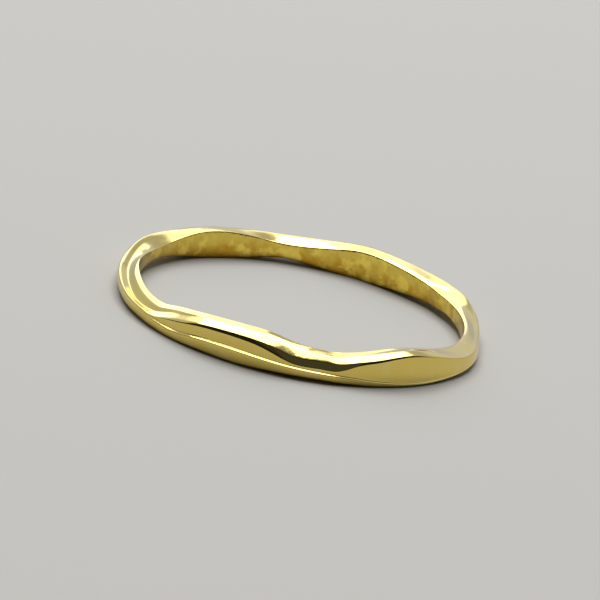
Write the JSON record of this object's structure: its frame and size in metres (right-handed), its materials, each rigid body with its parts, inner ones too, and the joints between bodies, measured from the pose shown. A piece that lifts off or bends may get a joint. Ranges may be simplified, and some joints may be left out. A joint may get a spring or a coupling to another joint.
{
  "type": "wavy stacking ring",
  "caption": "Thin one-piece finger ring whose band waves and swells, with long facets cut into its outside and a sloping two-strip top.",
  "frame": {"origin": "on the axis of the finger hole, on the plane that the ring lies on", "axes": "+Z along the finger hole's axis, up from that plane; -Y towards the side with the tallest wave, whose long facets meet in a corner; +X to the right of it"},
  "size_m": [0.0199, 0.0201, 0.0019],
  "materials": {
    "polished_gold": "polished yellow gold plating over cast silver"
  },
  "bodies": {
    "root": {"band": "polished_gold"}
  },
  "joints": []
}
